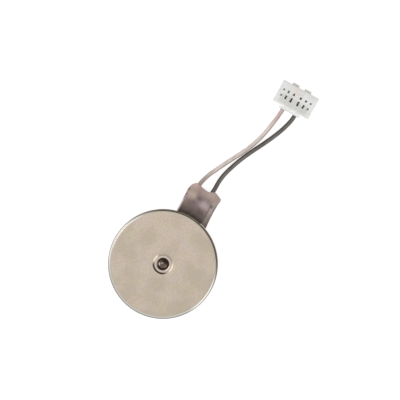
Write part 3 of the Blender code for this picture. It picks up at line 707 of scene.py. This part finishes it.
def makeLead(colour, wire):
    # a ring section and a lobed section, each carried along the smooth route
    s = leadSet
    around = fullTurn(s["sides"])
    whole = alongRoute(s[colour], s["samples"])
    inside = (whole[:, 0] >= s["span"][0] - 0.02) & (whole[:, 0] <= s["span"][1] + 0.02)
    path = whole[inside]
    along = np.linspace(0, 1, len(path))[:, None]
    rounding = s["endRound"] * (np.exp(-(along / s["endShare"]) ** 2)
                                + np.exp(-((1 - along) / s["endShare"]) ** 2))
    outer = s["jacketRadius"] - rounding + 0 * around
    bore = s["jacketRadius"] - s["wall"] + 0 * along + 0 * around
    shell = np.concatenate([swept(path, outer * np.cos(around), outer * np.sin(around)),
                            swept(path, bore * np.cos(around), bore * np.sin(around))[::-1]])
    jacket = gridPiece(f"leadJacket_{colour}", shell, wrapRows=True, crease=60)
    # how far each point leans to one flank, from -1 to 1
    lean = np.broadcast_to(np.cos(around), shell.shape[:2]).astype(np.float32)
    jacket.data.attributes.new("lean", "FLOAT", "POINT").data.foreach_set("value", lean.ravel())
    slot = {"red": "pink_insulation", "black": "black_insulation"}[colour]
    finishPiece(jacket, stator, slot, leadSkin(*s[f"{colour}Skin"]), f"lead_jacket_{colour}")
    # six outer strands show as lobes that turn slowly along the wire
    step = np.linalg.norm(np.diff(whole, axis=0), axis=1)
    run = np.concatenate([[0], np.cumsum(step)])[:, None]
    bulge = np.abs(np.cos(3 * (around - 2 * pi * run / s["lay"])))
    lobes = s["strandRadius"] * (1 - s["groove"] + s["groove"] * bulge)
    core = gridPiece(f"stranded_{colour}", swept(whole, lobes * np.cos(around), lobes * np.sin(around)),
                     capped=True, crease=60)
    finishPiece(core, stator, "tinned_copper", wire, f"conductor_{colour}")


tinnedWire = speckled("tinnedCopperStrand", "#A99B88", "#D8CDBB", 0.06, 1.0, 0.34)
makeLead("red", tinnedWire)
makeLead("black", tinnedWire)


# plug

plugSet = {
    "y": -3.34, "x": (17.95, 20.08), "half": 1.85, "height": 1.30,
    "lipX": 17.66, "lipHalf": 1.05, "lipZ": (0.12, 1.12),
    "contactDy": 0.62, "contactZ": 0.62, "tabX": 20.30, "tabHalf": 0.34, "tabZ": (0.30, 0.94),
    "cavityHalf": (0.31, 0.35), "cavityX": (17.50, 19.94), "pinHalf": 0.18,
    "windowDepth": 0.42, "windowDy": (0.36, 0.90, 1.38),
    "rows": (((18.54, 18.96, 0.10), (18.57, 18.92, 0.09), (18.66, 18.83, 0.085)),
             ((19.20, 19.40, 0.10), (19.20, 19.40, 0.09), (19.22, 19.39, 0.085))),
    "cell": 0.055, "rounding": 2,
    "past": 0.2,              # how far a way or a window runs past the face it opens in
    # where a band over the contacts is greyer: along x in and out, and half width and its fade
    "greyBandFrom": (18.0, 18.2), "greyBandTo": (19.2, 18.7), "greyBandHalf": (1.6, 0.4), "warmAt": (19.7, -3.2),
    "nylon": ("#EBECEA", "#F5F6F5"), "greyBand": "#D4D4D0", "warmSpot": "#E9E1DC",
}


def whiteNylon():
    # moulded nylon: milky white, a little light carried inside, greyer in a band over the
    # contacts. Its flow marks and grain are coarser than real ones, so that they show
    s = plugSet
    material, tree, shader, place = startMaterial("mouldedWhiteNylon", 0.0, 0.42)
    parts = addNode(tree, "ShaderNodeSeparateXYZ", {0: place})
    x, y = parts.outputs["X"], parts.outputs["Y"]
    half, fade = s["greyBandHalf"]
    low, high = s["y"] - half, s["y"] + half
    middle = [(y, *inMetres((low, low + fade))), (y, *inMetres((high, high - fade)))]
    overContacts = [(x, *inMetres(s["greyBandFrom"])), (x, *inMetres(s["greyBandTo"]), 0.0, 0.6)]
    colour = painted(tree, s["nylon"][0],
                     (s["nylon"][1], (clouds(tree, place, 1.1), 0.35, 0.65)),
                     (s["greyBand"], *overContacts, *middle),
                     (s["warmSpot"], (distanceTo(tree, place, s["warmAt"]), 1.0 * mm, 0.0, 0.0, 0.7)))
    tree.links.new(colour, shader.inputs["Base Color"])
    shader.inputs["Subsurface Weight"].default_value = 0.25
    shader.inputs["Subsurface Radius"].default_value = inMetres((0.4, 0.35, 0.3))
    relief(tree, shader, clouds(tree, place, 0.07), 0.0015)
    return material


def makePlug():
    # a block of cells between unequal grid planes: a cell is solid by its place, faces lie
    # where a solid cell meets an empty one, and each corner then moves to its neighbours' mean
    s = plugSet
    solid, empty = [], []
    solid.append(((s["x"][0], -s["half"], 0.0), (s["x"][1], s["half"], s["height"])))
    solid.append(((s["lipX"], -s["lipHalf"], s["lipZ"][0]), (s["x"][0], s["lipHalf"], s["lipZ"][1])))
    (wide, tall), pin, tab, middle = s["cavityHalf"], s["pinHalf"], s["tabHalf"], s["contactZ"]
    back, front = s["cavityX"]
    for dy in (s["contactDy"], -s["contactDy"]):
        solid.append(((s["x"][1], dy - tab, s["tabZ"][0]), (s["tabX"], dy + tab, s["tabZ"][1])))
        empty.append(((back, dy - wide, middle - tall), (front, dy + wide, middle + tall)))
        empty.append(((front, dy - pin, middle - pin), (s["tabX"] + s["past"], dy + pin, middle + pin)))
    foot, over = s["height"] - s["windowDepth"], s["height"] + s["past"]
    for row in s["rows"]:
        for (x0, x1, wide), distance in zip(row, s["windowDy"]):
            for dy in (distance, -distance):
                empty.append(((x0, dy - wide, foot), (x1, dy + wide, over)))
    low, high = np.array(solid)[:, 0].min(0), np.array(solid)[:, 1].max(0)
    planes = []
    for axis in range(3):
        marks = np.unique(np.round(np.clip(np.array(solid + empty)[:, :, axis], low[axis], high[axis]), 4))
        counts = np.maximum(1, np.ceil(np.diff(marks) / s["cell"])).astype(int)
        planes.append(np.concatenate([np.linspace(a, b, n, endpoint=False)
                                      for a, b, n in zip(marks, marks[1:], counts)] + [marks[-1:]]))
    middles = np.meshgrid(*[(p[1:] + p[:-1]) / 2 for p in planes], indexing="ij")

    def within(box):
        return np.all([(m > a) & (m < b) for m, a, b in zip(middles, *box)], axis=0)

    filled = np.any([within(box) for box in solid], axis=0) & ~np.any([within(box) for box in empty], axis=0)
    filled = np.pad(filled, 1)
    shape = [len(p) for p in planes]
    number = np.arange(np.prod(shape)).reshape(shape)
    faces = []
    for axis in range(3):
        ahead = np.take(filled, range(1, filled.shape[axis]), axis)
        behind = np.take(filled, range(filled.shape[axis] - 1), axis)
        others = [a for a in range(3) if a != axis]
        cut = [slice(None)] * 3
        for a in others:
            cut[a] = slice(1, -1)
        for facing, mask in ((1, behind & ~ahead), (-1, ahead & ~behind)):
            place = list(np.nonzero(mask[tuple(cut)]))
            corner = []
            for du, dv in ((0, 0), (1, 0), (1, 1), (0, 1)):
                spot = list(place)
                spot[others[0]] = place[others[0]] + du
                spot[others[1]] = place[others[1]] + dv
                corner.append(number[tuple(spot)])
            quads = np.stack(corner, -1)
            flip = (facing < 0) != (axis == 1)
            faces.append(quads[:, ::-1] if flip else quads)
    faces = np.concatenate(faces)
    used, faces = np.unique(faces, return_inverse=True)
    faces = faces.reshape(-1, 4)
    grid = np.stack(np.meshgrid(*planes, indexing="ij"), -1).reshape(-1, 3)
    points = grid[used]
    edges = np.unique(np.sort(np.concatenate([faces[:, [0, 1]], faces[:, [1, 2]], faces[:, [2, 3]],
                                              faces[:, [3, 0]]]), axis=1), axis=0)
    both = np.concatenate([edges, edges[:, ::-1]])
    count = np.bincount(both[:, 0])[:, None]
    for _ in range(s["rounding"]):
        total = np.zeros_like(points)
        np.add.at(total, both[:, 0], points[both[:, 1]])
        points = points + 0.5 * (total / count - points)
    points[:, 1] += s["y"]
    plug = addPiece("plugHousing", points, [faces], crease=180)
    finishPiece(plug, stator, "white_nylon", whiteNylon(), "plug_housing")


makePlug()


# crimp contacts

terminalSet = {
    # (x, half size, 0 for a round section to 1 for a square one)
    "stations": [(17.80, 0.28, 0.0), (18.12, 0.28, 0.0), (18.24, 0.19, 0.0), (18.50, 0.19, 0.0),
                 (18.66, 0.24, 1.0), (19.88, 0.24, 1.0)],
    "sheet": 0.05, "rows": 70, "columns": 60,
}


def makeTerminal(colour, dy, bronze):
    # an open seam tube whose section goes from round to square along x
    s = terminalSet
    stations = np.array(s["stations"])
    x = np.linspace(stations[0, 0], stations[-1, 0], s["rows"])[:, None]
    half = np.interp(x, stations[:, 0], stations[:, 1])
    square = np.interp(x, stations[:, 0], stations[:, 2])
    angle = np.radians(np.linspace(-255, 75, s["columns"]))
    across, up = np.cos(angle), np.sin(angle)
    reach = half * (1 + square * (1 / np.maximum(abs(across), abs(up)) - 1))
    grid = np.stack([x + 0 * angle, plugSet["y"] + dy + reach * across, plugSet["contactZ"] + reach * up], -1)
    shell = gridPiece(f"crimpContact_{colour}", grid, wrapColumns=False, crease=35)
    thicken(shell, s["sheet"])
    finishPiece(shell, stator, "tinned_bronze", bronze, f"terminal_{colour}")


bronze = speckled("tinnedBronzeStrip", "#B9B6AC", "#D6D3CA", 0.12, 1.0, 0.33)
makeTerminal("red", plugSet["contactDy"], bronze)
makeTerminal("black", -plugSet["contactDy"], bronze)


# rotor coils

coilSet = {
    "bore": 0.55, "pitch": 0.10, "lobe": 0.022, "perTurn": 6, "segments": 72, "edge": 0.06,
    "wire": ("#94461F", "#B96237"),
}


def enamelledWire():
    # enamelled copper: glossy red-brown varnish over the wire, each coil baked into one body
    s = coilSet
    material, tree, shader, place = startMaterial("enamelledCopperWire", 0.7, 0.30)
    colour = painted(tree, s["wire"][0], (s["wire"][1], (clouds(tree, place, 0.12), 0.35, 0.65)))
    tree.links.new(colour, shader.inputs["Base Color"])
    relief(tree, shader, clouds(tree, place, 0.05), 0.002)
    return material


def makeCoil(number, wire):
    # a rectangle's outline, with its corners cut round and the wire's turns as a row of lobes pressed
    # into it, turned about the coil's own axis. The turns are drawn at twice the real wire's pitch
    s = coilSet
    low, high = (np.array(corner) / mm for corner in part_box(f"coil_{number}"))
    centre, radius = (low[:2] + high[:2]) / 2, (high[0] - low[0]) / 2
    wide, tall = radius - s["bore"], high[2] - low[2]
    sides = np.array([tall, wide, tall, wide])
    ends = np.cumsum(sides)
    count = int(round(ends[-1] / s["pitch"]))
    run = np.linspace(0, ends[-1], count * s["perTurn"], endpoint=False)
    side = np.searchsorted(ends, run, side="right")
    along = run - (ends - sides)[side]
    press = s["lobe"] * (1 - np.abs(np.sin(pi * run / ends[-1] * count)))
    toCorner = np.minimum(along, sides[side] - along)
    press += np.maximum(0, s["edge"] - toCorner) ** 2 / s["edge"]
    r = np.choose(side, [radius - press, radius - along, s["bore"] + press, s["bore"] + along])
    z = np.choose(side, [high[2] - along, low[2] + press, low[2] + along, high[2] - press])
    grid = turned(np.stack([r, z], -1), fullTurn(s["segments"]), centre)
    coil = gridPiece(f"woundCoil_{number}", grid, wrapRows=True, crease=75)
    finishPiece(coil, rotor, "enamelled_copper", wire, f"coil_{number}")


enamel = enamelledWire()
makeCoil(1, enamel)
makeCoil(2, enamel)


# CAD nodes that keep their shape

# name, dark colour, light colour, patch size in mm, metallic, roughness, relief in mm, spread of the
# roughness, stretch. Grain finer than 0.1 mm is drawn at about twice its real size, so that it shows
finishes = {
    "bracket": ("rolledStainlessStrip", "#A5A29B", "#BDBAB3", 0.5, 1.0, 0.34, 0.002, 0.06, (0.15, 1, 1)),
    "flexible_circuit": ("polyimideLaminate", "#8A4C16", "#A5641F", 0.4, 0.0, 0.40),
    "trace_positive trace_negative": ("etchedCopperFoil", "#B56D40", "#CF8858", 0.15, 1.0, 0.36),
    "ring_magnet": ("platedSinteredMagnet", "#7E7D7A", "#999894", 0.12, 1.0, 0.38, 0.002),
    "thrust_washer_lower thrust_washer_upper": ("blackWasherFilm", "#262422", "#383532", 0.2, 0.0, 0.55),
    "brush_positive brush_negative": ("rolledBrushAlloy", "#C4A562", "#DCC081", 0.3, 1.0, 0.28, 0.001, 0.06,
                                      (0.2, 1, 1)),
    "lead_solder_positive lead_solder_negative": ("reflowedTinSolder", "#A9AAA9", "#CBCCCB", 0.22, 1.0, 0.26,
                                                  0.004),
    "rotor_board": ("greenGlassEpoxy", "#274F31", "#37693F", 0.25, 0.0, 0.42),
    "counterweight": ("sinteredTungstenAlloy", "#63625F", "#7C7A77", 0.06, 1.0, 0.42, 0.002),
    "rotor_moulding": ("blackGlassFilledMoulding", "#1F1F22", "#303035", 0.15, 0.0, 0.52, 0.002),
    "bearing_bush": ("oiledSinteredBronze", "#87683A", "#A98750", 0.05, 1.0, 0.42, 0.003),
}
goldPlate = speckled("hardGoldPlate", "#CF9F42", "#E0B65C", 0.1, 1.0, 0.24)


def dressNode(name, material):
    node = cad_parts[name]
    node.data.materials.clear()
    node.data.materials.append(material)
    print("dressed", name)


for names, finish in finishes.items():
    material = speckled(*finish)
    for name in names.split():
        dressNode(name, material)
for number in range(1, 7):
    dressNode(f"commutator_segment_{number}", goldPlate)
